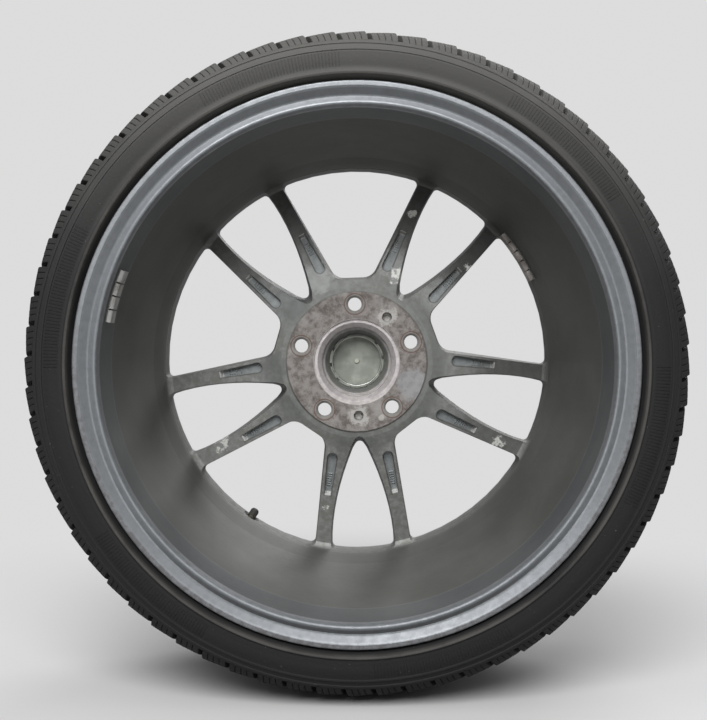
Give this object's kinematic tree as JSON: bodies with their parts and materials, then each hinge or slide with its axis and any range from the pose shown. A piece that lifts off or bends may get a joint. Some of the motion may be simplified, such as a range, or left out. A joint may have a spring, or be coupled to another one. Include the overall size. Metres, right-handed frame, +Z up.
{
  "type": "car wheel with tyre",
  "caption": "Cast alloy car wheel with a low-profile winter tyre, rubber snap-in valve, centre cap and stick-on balance weights; bolts to a hub and carries a car's corner",
  "frame": {"origin": "centre of the rim: on the axle's line, midway between the two sides of the rim and tyre", "axes": "+Z up with the wheel standing, axle along Y, the inboard side faces -Y and the outboard face looks along +Y"},
  "size_m": [0.6286, 0.262, 0.6284],
  "materials": {
    "cast_aluminium": "silver paint over a casting, dulled by brake dust",
    "tyre_rubber": "matt, dusty",
    "cap_plastic": "bare pale back of a moulding",
    "spring_steel": "bright",
    "badge_sheet": "plain, smooth",
    "valve_rubber": "matt",
    "brass": "turned",
    "seal_rubber": "matt",
    "black_plastic": "moulded, ribbed",
    "weight_metal": "grey coat, dusty",
    "foam_tape": "foam with adhesive"
  },
  "bodies": {
    "wheel_and_tyre": {"wheel": "cast_aluminium", "tyre": "tyre_rubber", "centre_cap": "cap_plastic", "cap_spring_ring": "spring_steel", "cap_badge": "badge_sheet", "valve_rubber": "valve_rubber", "valve_stem": "brass", "valve_core_body": "brass", "valve_core_seal": "seal_rubber", "valve_core_spring": "spring_steel", "inner_weight_tape": "foam_tape", "outer_weight_tape": "foam_tape", "inner_weight_1": "weight_metal", "inner_weight_2": "weight_metal", "inner_weight_3": "weight_metal", "inner_weight_4": "weight_metal", "outer_weight_1": "weight_metal", "outer_weight_2": "weight_metal", "outer_weight_3": "weight_metal", "outer_weight_4": "weight_metal", "outer_weight_5": "weight_metal"},
    "cap_seal": {"valve_cap_seal": "valve_rubber"},
    "cap": {"valve_cap": "black_plastic"},
    "core_pin": {"valve_core_pin": "brass"}
  },
  "joints": [
    {"name": "valve_cap_lift", "type": "slide", "parent": "wheel_and_tyre", "child": "cap_seal", "axis": [0.4284, 0.6428, 0.6351], "range_m": [0, 0.00476]},
    {"name": "valve_cap_turn", "type": "hinge", "parent": "cap_seal", "child": "cap", "pos_m": [-0.11318, 0.10129, -0.16779], "axis": [0.4284, 0.6428, 0.6351], "range_deg": [0, 2160]},
    {"name": "valve_pin_press", "type": "slide", "parent": "wheel_and_tyre", "child": "core_pin", "axis": [-0.4284, -0.6428, -0.6351], "range_m": [0, 0.0012], "stiffness_N_per_m": 800, "springref_m": -0.001}
  ],
  "couplings": [
    {"joint": "valve_cap_turn", "follows": "valve_cap_lift", "rad_per_m": 7915.8}
  ]
}
